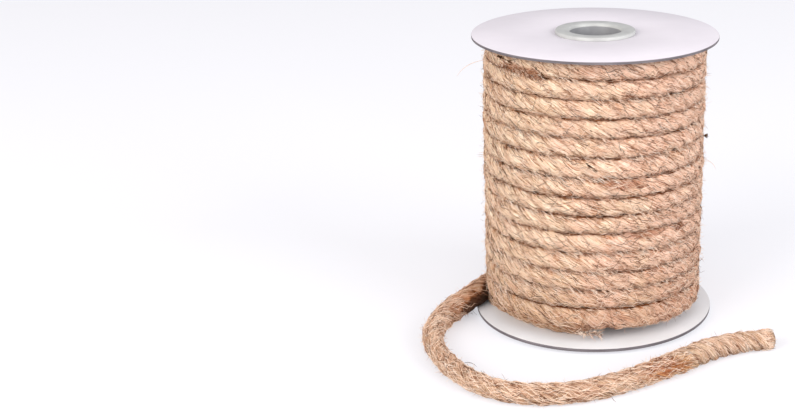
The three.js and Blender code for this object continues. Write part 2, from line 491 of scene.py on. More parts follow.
fibres = {
    "lying": {"count": 10900, "length": (0.002, 0.007), "width": 0.00008, "rise": 0.06,
              "drift": (100, 140), "tones": (0, 0.88), "seed": 11},
    "crossing": {"count": 6500, "length": (0.0012, 0.0035), "width": 0.00006, "rise": 0.06,
                 "drift": (0, 520), "tones": (0, 0.88), "seed": 15},
    "standing": {"count": 15500, "length": (0.0007, 0.003), "width": 0.00004,
                 "lift": (0.2, 1.2), "curl": 1.6, "tones": (0.02, 0.9), "seed": 21},
    "looseLying": {"count": 2000, "length": (0.003, 0.009), "width": 0.00009, "rise": 0.07,
                   "drift": (100, 140), "tones": (0.05, 0.85), "seed": 31},
    "tipLying": {"count": 420, "length": (0.002, 0.005), "width": 0.00008, "rise": 0.05,
                 "drift": (420, 90), "tones": (0.1, 0.8), "seed": 35},
    "looseStanding": {"count": 2600, "length": (0.0007, 0.0026), "width": 0.00004,
                      "lift": (0.2, 1.1), "curl": 1.6, "tones": (0.04, 0.8), "seed": 41},
    "tuckedLying": {"count": 200, "length": (0.002, 0.005), "width": 0.00007, "rise": 0.07,
                    "drift": (100, 140), "tones": (0, 1), "seed": 17},
    "seam": {"count": 170, "length": (0.002, 0.006), "width": 0.00009, "rise": 0.06,
             "drift": (100, 140), "tones": (0.1, 0.8), "seed": 29},
    "bridging": {"count": 3400, "length": (0.0015, 0.004), "width": 0.00008, "seed": 19,
                 "reach": 0.0026, "unevenReach": 0.00012, "scatter": 0.0005,
                 "slope": (10, 55), "turns": (0.4, 13.2), "bow": (-0.0002, 0.0001), "sag": 0.0002,
                 "patchesPerTurn": 9, "patchEdge": (-0.2, 0.3)},
    # dark fibres in the grooves between turns, as painted shade
    "groove": {"count": 900, "length": (0.0008, 0.003), "width": 0.0001, "seed": 23,
               "reach": 0.0024, "unevenReach": 0.0001, "scatter": 0.00012, "wave": 0.00004,
               "stretches": ((0.1, 13.6), (12.75, 13.2), (13.76, 13.99)),
               "shares": (0.9, 0.06, 0.04), "fewerAtSides": 0.7},
    "segments": 4,
    "standingSegments": 3,
    "taper": 0.75,  # how much thinner a fibre is at its ends
    "wave": 0.13,  # radians, and each drift is in radians a metre round the rope
    "middleRise": 1.3,  # how much of its rise a lying fibre has in its middle
    "endRise": 0.2,
    "sway": 0.4,  # how far a standing fibre leans sideways
    "rootDepth": 0.97,  # share of the skin's distance at which it starts
    "fewerInShade": 0.85,  # of the lying fibres
    "darkerInShade": 0.7,
    "standingDarkerInShade": 0.65,
    "deepestShade": 1.4,
}
hairShares = (-0.5, -0.25, 0, 0.25, 0.5)  # places along a fibre, from its middle


def hairAlong(places, width):  # tapered to both ends
    last = len(places) - 1
    return [(place, width * (1 - fibres["taper"] * (2 * i / last - 1) ** 2))
            for i, place in enumerate(places)]


def bentHair(root, heading, bend, length, width):
    places, place = [], root.copy()
    for i in range(fibres["standingSegments"] + 1):
        places.append(place.copy())
        heading = (heading + bend / fibres["standingSegments"]).normalized()
        place += heading * length / fibres["standingSegments"]
    return hairAlong(places, width)


def hairMesh(name, hairs):  # each hair's tone, from 0 to 1, is the first value of its fibre map
    vertices, faces, uvs = [], [], []
    for tone, points in hairs:
        start, rings = len(vertices), len(points) - 2
        side = (points[-1][0] - points[0][0]).orthogonal().normalized()
        other = (points[-1][0] - points[0][0]).normalized().cross(side)
        vertices.append(points[0][0])
        for place, width in points[1:-1]:
            for k in range(3):
                angle = 2 * math.pi * k / 3
                vertices.append(place + (side * math.cos(angle) + other * math.sin(angle)) * width)
        vertices.append(points[-1][0])
        tip = start + 1 + 3 * rings
        for k in range(3):
            following = (k + 1) % 3
            faces.append((start, start + 1 + following, start + 1 + k))
            for a in range(start + 1, tip - 3, 3):
                faces.append((a + k, a + following, a + 3 + following, a + 3 + k))
            faces.append((tip - 3 + k, tip - 3 + following, tip))
        uvs += [(tone, 0.5)] * (18 + 12 * (rings - 1))  # one for each corner of its faces
    return meshPiece(name, vertices, faces, uvs)


# painted shade: a fibre's tone is made darker where the rope's painted shade is deep
def shadedTone(settings, chance, darker, shade):
    return mix(*settings["tones"], chance.random()) * (1 - darker * min(fibres["deepestShade"], shade))


def facesOut(station, offset):  # only the outer side of the wound rope shows
    outward = Vector((station.point.x, station.point.y, 0)).normalized()
    return station.half == 0 or offset.normalized().dot(outward) > -0.1


def lyingHairs(stations, settings, allowed, girth=evenGirth, shade=shadeAt):
    chance = random.Random(settings["seed"])
    hairs, last = [], len(stations) - 1
    while len(hairs) < settings["count"]:
        length = chance.uniform(*settings["length"])
        stride = length / fibres["segments"] / rope["step"]
        first = chance.uniform(0, last - stride * fibres["segments"])
        angle, drift = chance.uniform(0, 2 * math.pi), chance.gauss(*settings["drift"])
        places = []
        for j in range(fibres["segments"] + 1):
            at = first + j * stride
            near, share = stations[int(at)], at - int(at)
            far = stations[min(int(at) + 1, last)]
            turned = angle + drift * j * stride * rope["step"] + chance.gauss(0, fibres["wave"])
            most = fibres["middleRise"] if 0 < j < fibres["segments"] else fibres["endRise"]
            rise = 1 + settings["rise"] * chance.uniform(0, 1) * most
            a = near.point + skinOffset(near, turned, girth) * rise
            b = far.point + skinOffset(far, turned, girth) * rise
            places.append(a.lerp(b, share))
        offset = skinOffset(near, turned)
        dark = shade(near, offset)
        shown = facesOut(near, offset) and chance.random() > fibres["fewerInShade"] * dark
        if shown and all(allowed(place) for place in places):
            tone = shadedTone(settings, chance, fibres["darkerInShade"], dark)
            hairs.append((tone, hairAlong(places, settings["width"])))
    return hairs


def randomVector(chance, spread=1):
    return Vector([chance.gauss(0, spread) for axis in range(3)])


def standingHairs(stations, settings, allowed, girth=evenGirth):  # each bends back to the rope
    chance = random.Random(settings["seed"])
    hairs, last = [], len(stations) - 1
    while len(hairs) < settings["count"]:
        i, angle = chance.randrange(last), chance.uniform(0, 2 * math.pi)
        station = stations[i]
        offset = skinOffset(station, angle, girth)
        outward = offset.normalized()
        lift = chance.uniform(*settings["lift"])
        heading = station.tangent * chance.choice((-1, 1)) * math.cos(lift) + outward * math.sin(lift)
        heading += outward.cross(station.tangent) * chance.gauss(0, fibres["sway"])
        bend = randomVector(chance) * settings["curl"] - outward * lift
        root, length = station.point + offset * fibres["rootDepth"], chance.uniform(*settings["length"])
        points = bentHair(root, heading.normalized(), bend, length, settings["width"])
        if facesOut(station, offset) and all(allowed(place) for place, width in points[1:]):
            tone = shadedTone(settings, chance, fibres["standingDarkerInShade"], shadeAt(station, offset))
            hairs.append((tone, points))
    return hairs


def isBridged(turns, chance):  # whether short fibres hide the groove between two turns here
    patch = noise.noise(Vector((turns * fibres["bridging"]["patchesPerTurn"], 4.4, 0)))
    return patch > chance.uniform(*fibres["bridging"]["patchEdge"])


def grooveReach(turns):
    return winding["outerRadius"] + (reachAt(turns - 1) + reachAt(turns)) / 2


def bridgingHairs(settings):  # short fibres in patches across the grooves between two turns
    chance = random.Random(settings["seed"])
    hairs = []
    while len(hairs) < settings["count"]:
        turns = chance.uniform(*settings["turns"])
        if not isBridged(turns, chance):
            continue
        angle = 2 * math.pi * turns - math.pi / 2
        height = grooveHeight(turns) + chance.gauss(0, settings["scatter"])
        out = Vector((math.cos(angle), math.sin(angle), 0))
        along = Vector((-out.y, out.x, 0))
        slope = math.radians(chance.uniform(*settings["slope"]))
        length = chance.uniform(*settings["length"])
        heading = along * math.cos(slope) - Vector((0, 0, 1)) * math.sin(slope)
        reach = grooveReach(turns) + settings["reach"]
        middle = out * (reach + chance.gauss(0, settings["unevenReach"])) + Vector((0, 0, height))
        bow = out * chance.uniform(*settings["bow"]) + Vector((0, 0, chance.gauss(0, settings["sag"])))
        places = [middle + heading * length * share + bow * (1 - 4 * share * share)
                  - out * (length * share) ** 2 / (2 * reach) for share in hairShares]
        if all(betweenBoards(place) for place in places):
            hairs.append((chance.random(), hairAlong(places, settings["width"])))
    return hairs


def grooveShadeHairs(settings):  # dark fibres lying in the grooves between turns, as broken lines of painted shade
    chance = random.Random(settings["seed"])
    hairs = []
    while len(hairs) < settings["count"]:
        stretch = chance.choices(settings["stretches"], settings["shares"])[0]
        turns = chance.uniform(*stretch)
        sideways = abs(math.sin(2 * math.pi * turns))  # the grooves show less towards the sides of the roll
        if isBridged(turns, chance) or chance.random() < settings["fewerAtSides"] * sideways:
            continue
        length, lift = chance.uniform(*settings["length"]), chance.gauss(0, settings["scatter"])
        reach = grooveReach(turns) + settings["reach"] + chance.gauss(0, settings["unevenReach"])
        places = []
        for share in hairShares:
            at = turns + share * length / (2 * math.pi * reach)
            angle = 2 * math.pi * at - math.pi / 2
            height = grooveHeight(at) + lift + chance.gauss(0, settings["wave"])
            places.append(Vector((reach * math.cos(angle), reach * math.sin(angle), height)))
        if all(betweenBoards(place) for place in places):
            hairs.append((chance.random(), hairAlong(places, settings["width"])))
    return hairs


def seamGirth(station):  # where the wound rope goes over into the loose end
    return 1.02 if station.half > 0 else looseGirth(station)


def betweenBoards(place):
    return boards["lowTop"] + 0.1 * mm < place.z < boards["highBottom"] - 0.1 * mm


def aboveFloor(place):  # and above the lower board, and not far past the cut end
    if place.z < 0.15 * mm or place.x > looseRoute[-1][0] + 2.9 * mm:
        return False
    away = math.hypot(place.x, place.y)
    return away > boards["radius"] + 0.2 * mm or place.z > boards["lowTop"] + 0.1 * mm


tuckedStations = [station for station in innerStations[-40:-1]
                  if station.point.z < shading["tuckedBelow"]]
seamStations = woundStations[-7:] + looseStations[:7]
tipStations = [station for station in looseStations if tipShare(station.length) > 0.5]
openStations = looseStations[:3 - len(tipStations)]  # all the others, and three of the tip's
fibrePieces = [
    hairMesh("tuckedFibres",
             lyingHairs(tuckedStations, fibres["tuckedLying"], betweenBoards, shade=tuckedShade)),
    hairMesh("bridgingFibres", bridgingHairs(fibres["bridging"])),
    hairMesh("grooveShadeFibres", grooveShadeHairs(fibres["groove"])),
    hairMesh("lyingFibres", lyingHairs(woundStations, fibres["lying"], betweenBoards)),
    hairMesh("crossingFibres", lyingHairs(woundStations, fibres["crossing"], betweenBoards)),
    hairMesh("standingFibres", standingHairs(woundStations, fibres["standing"], betweenBoards)),
    hairMesh("seamFibres", lyingHairs(seamStations, fibres["seam"], aboveFloor, seamGirth)),
    hairMesh("looseLyingFibres", lyingHairs(openStations, fibres["looseLying"], aboveFloor, looseGirth)),
    hairMesh("tipLyingFibres", lyingHairs(tipStations, fibres["tipLying"], aboveFloor, looseGirth)),
    hairMesh("looseStandingFibres",
             standingHairs(looseStations, fibres["looseStanding"], aboveFloor, looseGirth)),
]
print("fibres", sum(len(piece.data.polygons) for piece in fibrePieces), "faces")

# Tufts, each with its roots scattered between two places and its fibres along one heading
tufts = {
    "rustyClump": {
        "roots": ((-0.0262, -0.0203, 0.0834), (-0.0160, -0.0290, 0.0815)), "scatter": 0.0014,
        "heading": (0.5, -0.35, -0.7), "spread": 0.5, "count": 190,
        "length": (0.0008, 0.0022), "width": 0.00007, "curl": 1.6, "seed": 51,
    },
    # painted shade: dark fibres where a gap between the layers shows
    "darkGapShade": {
        "roots": ((-0.0276, -0.0183, 0.0848), (-0.0236, -0.0232, 0.0842)), "scatter": 0.0006,
        "heading": (0.7, -0.3, -0.2), "spread": 0.6, "count": 80,
        "length": (0.0006, 0.0014), "width": 0.00011, "curl": 1.5, "seed": 52,
    },
    # painted shade: dark fibres along a slanting groove
    "slantGrooveShade": {
        "roots": ((-0.0176, -0.0280, 0.0853), (-0.0136, -0.0300, 0.0811)), "scatter": 0.0002,
        "heading": (0.6, -0.2, -0.8), "spread": 0.3, "count": 36,
        "length": (0.0005, 0.0015), "width": 0.00007, "curl": 0.6, "seed": 53,
    },
    "tuckedTuft": {
        "roots": ((-0.0054, -0.0316, 0.0056), (0.0014, -0.0320, 0.0050)), "scatter": 0.0007,
        "heading": (0.95, -0.1, -0.15), "spread": 0.5, "count": 120,
        "length": (0.0012, 0.0030), "width": 0.00007, "curl": 1.2, "seed": 54,
    },
    # painted shade: dark fibres in the gaps by the tucked end
    "tuckedGapsShade": {
        "roots": ((-0.0056, -0.0328, 0.0058), (0.0016, -0.0331, 0.0052)), "scatter": 0.0004,
        "heading": (0.8, -0.05, 0.35), "spread": 0.4, "count": 26,
        "length": (0.0006, 0.0013), "width": 0.00008, "curl": 0.6, "seed": 55,
    },
    "looseTuft": {
        "roots": ((0.0125, -0.0572, 0.0037), (0.0240, -0.0486, 0.0034)), "scatter": 0.0012,
        "heading": (0.85, 0.45, -0.05), "spread": 0.2, "count": 720,
        "length": (0.002, 0.006), "width": 0.0001, "curl": 0.8, "seed": 56,
    },
    "darkSlash": {
        "roots": ((-0.0029, -0.0331, 0.0580), (0.0004, -0.0332, 0.0556)), "scatter": 0.0002,
        "heading": (0.8, 0, -0.6), "spread": 0.15, "count": 34,
        "length": (0.0006, 0.0014), "width": 0.00009, "curl": 0.4, "seed": 57,
    },
    "darkSpeck": {
        "roots": ((0.0328, -0.0065, 0.0585), (0.0329, -0.0060, 0.0578)), "scatter": 0.0003,
        "heading": (0.8, 0.2, -0.5), "spread": 0.6, "count": 24,
        "length": (0.0006, 0.0014), "width": 0.00012, "curl": 0.9, "seed": 58,
    },
}
longHairWidth = 0.00008
longHairs = {  # single long fibres, by the places that they pass
    "paleHair": [(-0.0325, -0.0040, 0.0800), (-0.0345, -0.0045, 0.0797), (-0.0370, -0.0050, 0.0788),
                 (-0.0392, -0.0052, 0.0772), (-0.0408, -0.0054, 0.0752)],
    "sideHair": [(0.0325, -0.0040, 0.0500), (0.0342, -0.0044, 0.0496), (0.0358, -0.0046, 0.0484),
                 (0.0366, -0.0048, 0.0468)],
    "darkHair": [(0.0050, -0.0660, 0.0020), (0.0056, -0.0672, 0.0016), (0.0064, -0.0680, 0.0012)],
    "bentHair": [(-0.0366, -0.0512, 0.0044), (-0.0352, -0.0517, 0.0050), (-0.0334, -0.0531, 0.0052),
                 (-0.0322, -0.0547, 0.0050)],
    "crossedHair": [(0.0176, -0.0290, 0.0400), (0.0200, -0.0278, 0.0413), (0.0222, -0.0262, 0.0424),
                    (0.0236, -0.0248, 0.0440)],
}


cutTip = {
    "count": 900,
    "length": (0.0015, 0.0045),
    "width": 0.00009,
    "uneven": 0.0003,  # along the rope
    "inset": (0.0001, 0.00015),
    "lean": 0.04,
    "seed": 95,
}


def cutFibres(cut, settings):  # straight fibres at the cut, all ending close to one plane
    chance = random.Random(settings["seed"])
    hairs = []
    while len(hairs) < settings["count"]:
        angle, reach = chance.uniform(0, 2 * math.pi), math.sqrt(chance.uniform(0.1, 1))
        outward = cut.side * math.cos(angle) + cut.other * math.sin(angle)
        end = cut.point + outward * reach * rope["looseRadius"] * looseGirth(cut)
        end += cut.tangent * chance.gauss(0, settings["uneven"])
        length = chance.uniform(*settings["length"])
        root = end - cut.tangent * length - outward * chance.gauss(*settings["inset"])
        lean = randomVector(chance, settings["lean"]) * length
        places = [root.lerp(end, share) + lean * math.sin(math.pi * share) for share in (0, 0.3, 0.6, 1)]
        if all(place.z > 0.12 * mm for place in places):
            hairs.append((chance.random(), [(place, settings["width"]) for place in places]))
    return hairs


def tuftHairs(tuft, allowed):
    chance = random.Random(tuft["seed"])
    hairs, first, last = [], Vector(tuft["roots"][0]), Vector(tuft["roots"][1])
    while len(hairs) < tuft["count"]:
        shift, lean, bend = randomVector(chance), randomVector(chance), randomVector(chance)
        root = first.lerp(last, chance.random()) + shift * tuft["scatter"] * 0.5
        heading = (Vector(tuft["heading"]) + lean * tuft["spread"]).normalized()
        length = chance.uniform(*tuft["length"])
        points = bentHair(root, heading, bend * tuft["curl"] * 0.5, length, tuft["width"])
        if all(allowed(place) for place, width in points):
            hairs.append((chance.random(), points))
    return hairs


def inFreeSpace(place):
    return aboveFloor(place) and place.z < boards["highBottom"] - 0.1 * mm


tuftPieces = [hairMesh(name, tuftHairs(tuft, inFreeSpace)) for name, tuft in tufts.items()]
longPieces = [hairMesh(name, [(0.4, hairAlong(smoothRoute(places, 4), longHairWidth))])
              for name, places in longHairs.items()]
tuftPieces.append(hairMesh("cutTip", cutFibres(looseStations[-1], cutTip)))
print("tufts", ", ".join(piece.name for piece in tuftPieces))


# Spool, two boards on a hub of two bushings

spool = {
    "height": 0.0886,
    "boardSides": 192,
    "boardRounding": 0.00012,
    "boardHole": 0.0096,
    "hubSides": 96,
    "bore": 0.0077,
    "sleeve": 0.0093,
    "lip": 0.0119,
    "lipRounding": 0.0005,
    "boreRounding": 0.0009,
    "middleGap": 0.0003,  # between the two sleeves
}


def editMode(on):
    bpy.ops.object.mode_set(mode="EDIT" if on else "OBJECT")


def makeActive(piece):
    bpy.ops.object.select_all(action="DESELECT")
    piece.select_set(True)
    bpy.context.view_layer.objects.active = piece


def finishHardPiece(piece, name, node):
    piece.name = name
    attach(piece, "root")
    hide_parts(node)


def turnedPiece(profile, sides):  # a ring drawn out loop by loop along its profile, then closed on itself
    bpy.ops.object.select_all(action="DESELECT")
    bpy.ops.mesh.primitive_circle_add(vertices=sides, radius=profile[0][0])
    piece = bpy.context.object
    editMode(True)
    bpy.ops.transform.translate(value=(0, 0, profile[0][1]))
    for (radius, height), (nextRadius, nextHeight) in zip(profile, profile[1:]):
        bpy.ops.mesh.extrude_edges_move(TRANSFORM_OT_translate={"value": (0, 0, nextHeight - height)})
        grow = nextRadius / radius
        bpy.ops.transform.resize(value=(grow, grow, 1), center_override=(0, 0, 0))
    bpy.ops.mesh.select_all(action="DESELECT")
    bpy.ops.mesh.select_non_manifold()
    bpy.ops.mesh.bridge_edge_loops()
    bpy.ops.mesh.select_all(action="SELECT")
    bpy.ops.mesh.normals_make_consistent(inside=False)
    editMode(False)
    return piece


def rounding(radius, height, size, turnFrom, steps=4):  # a quarter arc of the profile round its centre
    angles = [math.radians(turnFrom + 90 * i / steps) for i in range(steps + 1)]
    return [(radius + size * math.cos(angle), height + size * math.sin(angle)) for angle in angles]


def bushingProfile(boardTop):
    top, r, inner = spool["height"], spool["lipRounding"], spool["boreRounding"]
    middle = top / 2 + spool["middleGap"] / 2
    return ([(spool["bore"], middle), (spool["sleeve"], middle)]
            + [(spool["sleeve"], boardTop), (spool["lip"], boardTop)]
            + rounding(spool["lip"] - r, top - r, r, 0)
            + rounding(spool["bore"] + inner, top - inner, inner, 90))


def addBushings():
    top, lowerFoot = spool["height"], boards["lowTop"] - boards["lowerThickness"]
    upperTop = boards["highBottom"] + boards["upperThickness"]
    upper = turnedPiece(bushingProfile(upperTop + seatGap), spool["hubSides"])
    turnedOver = [(radius, top - height) for radius, height in bushingProfile(top - (lowerFoot - seatGap))]
    lower = turnedPiece(turnedOver, spool["hubSides"])
    for piece, name, node in ((upper, "upperBushing", "top_bushing"),
                              (lower, "lowerBushing", "bottom_bushing")):
        finishHardPiece(piece, name, node)
        makeActive(piece)
        bpy.ops.object.shade_smooth_by_angle(angle=math.radians(40))
    return upper, lower


def addBoard(name, node, low, high):
    hole, edge = spool["boardHole"], boards["radius"]
    piece = turnedPiece([(hole, low), (edge, low), (edge, high), (hole, high)], spool["boardSides"])
    finishHardPiece(piece, name, node)
    bevel = piece.modifiers.new("edges", "BEVEL")
    bevel.width, bevel.segments, bevel.angle_limit = spool["boardRounding"], 2, math.radians(40)
    makeActive(piece)
    bpy.ops.object.modifier_apply(modifier="edges")
    bpy.ops.object.shade_smooth_by_angle(angle=math.radians(30))
    return piece


upperBushing, lowerBushing = addBushings()
upperBoard = addBoard("upperBoard", "top_flange", boards["highBottom"],
                      boards["highBottom"] + boards["upperThickness"])
lowerBoard = addBoard("lowerBoard", "bottom_flange",
                      boards["lowTop"] - boards["lowerThickness"], boards["lowTop"])
print("spool made")


# Materials

def linear(hexColour):  # an sRGB hex colour as linear values, with an alpha of 1
    parts = [int(hexColour[i:i + 2], 16) / 255 for i in (1, 3, 5)]
    return [p / 12.92 if p <= 0.04045 else ((p + 0.055) / 1.055) ** 2.4 for p in parts] + [1]


# Inputs are values, or the outputs that they are linked to, and stops are a ramp's places and colours
def addNode(tree, kind, inputs=None, stops=None, **settings):
    node = tree.nodes.new("ShaderNode" + kind)
    for name, value in settings.items():
        setattr(node, name, value)
    for name, value in (inputs or {}).items():
        if isinstance(value, bpy.types.NodeSocket):
            tree.links.new(value, node.inputs[name])
        else:
            node.inputs[name].default_value = value
    if stops:
        ramp = node.color_ramp.elements
        ramp.remove(ramp[1])
        ramp[0].position, ramp[0].color = stops[0][0], linear(stops[0][1])
        for position, colour in stops[1:]:
            ramp.new(position).color = linear(colour)
    return node


def newMaterial(name, roughness, gloss=0.5):
    material = bpy.data.materials.new(name)
    material.use_nodes = True
    shader = material.node_tree.nodes["Principled BSDF"]
    shader.inputs["Roughness"].default_value = roughness
    shader.inputs["Specular IOR Level"].default_value = gloss
    return material, material.node_tree, shader


jute = {  # each share says between which values a colour comes in, and at most how far
    "straw": [(0.36, "#7a4a2e"), (0.45, "#e0ba98"), (0.54, "#f7dcc0"), (0.64, "#faead6")],
    "tan": [(0.36, "#74422c"), (0.45, "#deae93"), (0.54, "#f5cfb7"), (0.64, "#fae1d1")],
    "tanShare": {"From Min": 0.36, "From Max": 0.64},
    "toneSize": 0.01,  # m
    "fibreLength": 0.45,  # cm
    "fibreWidth": 0.024,  # cm, coarser than a real fibre so that it shows
    "fibreWave": 0.2,  # cm
    "wavesPerCm": 2.2,  # each 4.5 mm long
    "fleck": "#5d3a26",
    "flecksPerCm": (4, 13, 1),  # each 2.5 mm along the rope and 0.8 mm across it
    "fleckShare": {"From Min": 0.66, "From Max": 0.7},
    "patchShare": {"From Min": -0.1, "From Max": 0.3, "To Min": 0.8, "To Max": 0.0},
    "patchBroken": -1.6,  # how far the fibres break up its edge
    # painted shade in the grooves between strands
    "hollowShade": "#8a5434",
    "hollowShadeShare": {"From Min": 0.2, "From Max": 0.5, "To Max": 0.65},
    "hollowShadeBroken": -1.2,
    "lowerTurnsShade": "#dcd0c8",  # painted shade: the turns are tinted darker towards the lower board
    "lowerShadeShare": {"From Min": 0.032, "From Max": 0.008},  # heights in metres
    # painted shade between turns, darkest last for the painted shadow where the loose end leaves the roll
    "creviceShade": [(0.1, "#ba7345"), (0.5, "#4a1f05"), (0.9, "#211009")],
    "creviceShadeShare": {"From Min": -0.2, "From Max": 0.35, "To Max": 0.9},
    "creviceShadeBroken": -0.9,
    "dashLength": 0.003846,  # m, of the darker and lighter stretches of the painted shade in a crevice
    "dashStrength": 1.8,
    "roughness": 0.88,
    "gloss": 0.05,
    "relief": 0.0005,  # m
}
patches = [  # centres, sizes and tints of browner stretches on the rope
    ((0.0080, -0.0320, 0.0508), (0.0070, 0.0080, 0.0014), "#b89383"),
    ((0.0150, -0.0290, 0.0352), (0.0060, 0.0080, 0.0014), "#b89383"),
    ((-0.0220, -0.0250, 0.0825), (0.0075, 0.0080, 0.0013), "#b5866d"),
    ((0.0125, -0.0308, 0.0755), (0.0045, 0.0060, 0.0010), "#c09a88"),
    ((0.0096, -0.0317, 0.0772), (0.0012, 0.0030, 0.0010), "#7a4632"),
    ((0.0130, -0.0303, 0.0498), (0.0014, 0.0030, 0.0007), "#7a4632"),
    ((0.0228, -0.0240, 0.0423), (0.0010, 0.0030, 0.0007), "#6b3f2a"),
    ((0.0252, -0.0214, 0.0345), (0.0020, 0.0030, 0.0009), "#6b3a2c"),
    ((-0.0287, -0.0165, 0.0206), (0.0012, 0.0020, 0.0007), "#50302a"),
    ((0.0313, -0.0107, 0.0493), (0.0012, 0.0012, 0.0008), "#50302a"),
    ((0.0185, -0.0528, 0.0045), (0.0070, 0.0055, 0.0030), "#c8844f"),
]
fibreTones = {
    "juteFibre": [(0.0, "#24150d"), (0.06, "#674231"), (0.13, "#a4765d"), (0.27, "#e3bba0"),
                  (0.55, "#f6dac2"), (0.85, "#fdeada"), (1.0, "#fef2e4")],
    "rustyFibre": [(0.0, "#3d2015"), (0.4, "#8a4d30"), (0.8, "#bd7d58"), (1.0, "#e0b48e")],
    "orangeFibre": [(0.0, "#7d4522"), (0.35, "#c17d4c"), (0.8, "#dea472"), (1.0, "#f3cda4")],
    "darkFibre": [(0.0, "#33190d"), (1.0, "#6b452c")],
    "grooveShadeFibre": [(0.0, "#3c1b0b"), (0.6, "#6b3a20"), (1.0, "#96603c")],
}
otherFibres = {  # all the other pieces of fibres are of juteFibre
    "rustyClump": "rustyFibre", "looseTuft": "orangeFibre", "grooveShadeFibres": "grooveShadeFibre",
    "darkGapShade": "darkFibre", "darkSlash": "darkFibre", "darkSpeck": "darkFibre", "darkHair": "darkFibre",
    "bentHair": "darkFibre", "slantGrooveShade": "darkFibre", "tuckedGapsShade": "darkFibre",
}


# Raw jute, bast fibre spun into three strands and twisted: matt and hairy, pale straw to pinkish tan,
# with flecks of bark, painted shade where the strands and the turns meet, and painted shadow where the
# loose end leaves the roll
def juteMaterial():
    material, tree, shader = newMaterial("twistedJute", jute["roughness"], jute["gloss"])
    fibreMap = addNode(tree, "UVMap", uv_map="fibres").outputs["UV"]
    place = addNode(tree, "TexCoord").outputs["Object"]

    # Fine fibres along the strands
    wave = addNode(tree, "TexNoise", {"Vector": fibreMap, "Scale": jute["wavesPerCm"], "Detail": 1.0})
    waved = addNode(tree, "VectorMath",
                    {0: wave.outputs["Color"], 1: [jute["fibreWave"]] * 3, 2: fibreMap},
                    operation="MULTIPLY_ADD")
    scale = (1 / jute["fibreLength"], 1 / jute["fibreWidth"], 1)
    stretched = addNode(tree, "Mapping", {"Vector": waved.outputs["Vector"], "Scale": scale})
    grain = addNode(tree, "TexNoise", {"Vector": stretched.outputs["Vector"], "Scale": 1.0, "Detail": 4.0,
                                       "Roughness": 0.65, "Distortion": 0.6}).outputs["Fac"]

    # Straw, and tan in stretches
    tone = addNode(tree, "TexNoise", {"Vector": place, "Scale": 1 / jute["toneSize"], "Detail": 2.0})
    tan = addNode(tree, "Attribute", attribute_name="tan").outputs["Fac"]
    tanner = addNode(tree, "Math", {0: tan, 1: tone.outputs["Fac"]}, operation="ADD").outputs[0]
    straw = addNode(tree, "ValToRGB", {"Fac": grain}, jute["straw"]).outputs["Color"]
    tanned = addNode(tree, "ValToRGB", {"Fac": grain}, jute["tan"]).outputs["Color"]
    layers = [(tanner, "tanShare", tanned, "MIX")]

    # Flecks of bark, and browner patches with edges that the fibres break up
    spots = addNode(tree, "Mapping", {"Vector": fibreMap, "Scale": jute["flecksPerCm"]}).outputs["Vector"]
    spotted = addNode(tree, "TexNoise", {"Vector": spots, "Scale": 1.0, "Detail": 3.0}).outputs["Fac"]
    layers.append((spotted, "fleckShare", linear(jute["fleck"]), "MIX"))
    for centre, size, tint in patches:
        near = addNode(tree, "Mapping", {"Vector": place, "Location": centre, "Scale": size},
                       vector_type="TEXTURE").outputs["Vector"]
        away = addNode(tree, "VectorMath", {0: near}, operation="LENGTH").outputs["Value"]
        ragged = addNode(tree, "Math", {0: grain, 1: jute["patchBroken"], 2: away},
                         operation="MULTIPLY_ADD").outputs[0]
        layers.append((ragged, "patchShare", linear(tint), "MULTIPLY"))

    # Painted shade in the grooves between strands, and on the turns near the lower board
    hollowShade = addNode(tree, "Attribute", attribute_name="hollowShade").outputs["Fac"]
    broken = addNode(tree, "Math", {0: grain, 1: jute["hollowShadeBroken"], 2: hollowShade},
                     operation="MULTIPLY_ADD").outputs[0]
    layers.append((broken, "hollowShadeShare", linear(jute["hollowShade"]), "MIX"))
    # painted shade, darker towards the lower board
    height = addNode(tree, "SeparateXYZ", {"Vector": place}).outputs["Z"]
    layers.append((height, "lowerShadeShare", linear(jute["lowerTurnsShade"]), "MULTIPLY"))

    # Painted shade in the crevices between turns, darker and lighter in short stretches, and painted shadow
    # where the loose end leaves the roll
    shade = addNode(tree, "Attribute", attribute_name="shade").outputs["Fac"]
    dashes = addNode(tree, "TexNoise", {"Vector": place, "Scale": 1 / jute["dashLength"], "Detail": 1.0})
    dashed = addNode(tree, "Math", {0: dashes.outputs["Fac"], 1: jute["dashStrength"],
                                    2: -jute["dashStrength"] / 2}, operation="MULTIPLY_ADD").outputs[0]
    uneven = addNode(tree, "Math", {0: shade, 1: dashed}, operation="ADD").outputs[0]
    deep = addNode(tree, "Math", {0: grain, 1: jute["creviceShadeBroken"], 2: uneven},
                   operation="MULTIPLY_ADD").outputs[0]
    creviceShade = addNode(tree, "ValToRGB", {"Fac": deep}, jute["creviceShade"]).outputs["Color"]
    layers.append((deep, "creviceShadeShare", creviceShade, "MIX"))

    colour = straw
    for value, share, tint, blend in layers:
        shown = addNode(tree, "MapRange", {"Value": value, **jute[share]}).outputs["Result"]
        colour = addNode(tree, "Mix", {0: shown, 6: colour, 7: tint},
                         data_type="RGBA", blend_type=blend).outputs[2]
    bump = addNode(tree, "Bump", {"Height": grain, "Strength": 1.0, "Distance": jute["relief"]})
    tree.links.new(bump.outputs["Normal"], shader.inputs["Normal"])
    tree.links.new(colour, shader.inputs["Base Color"])
    return material


# Single jute fibres, worked loose in the twisting: matt, each with one tone from the ramp, which the first
# value of its fibre map gives
def fibreMaterial(name, tones):
    material, tree, shader = newMaterial(name, jute["roughness"], jute["gloss"])
    fibreMap = addNode(tree, "UVMap", uv_map="fibres").outputs["UV"]
    tone = addNode(tree, "SeparateXYZ", {"Vector": fibreMap}).outputs["X"]
    colour = addNode(tree, "ValToRGB", {"Fac": tone}, tones)
    tree.links.new(colour.outputs["Color"], shader.inputs["Base Color"])
    return material


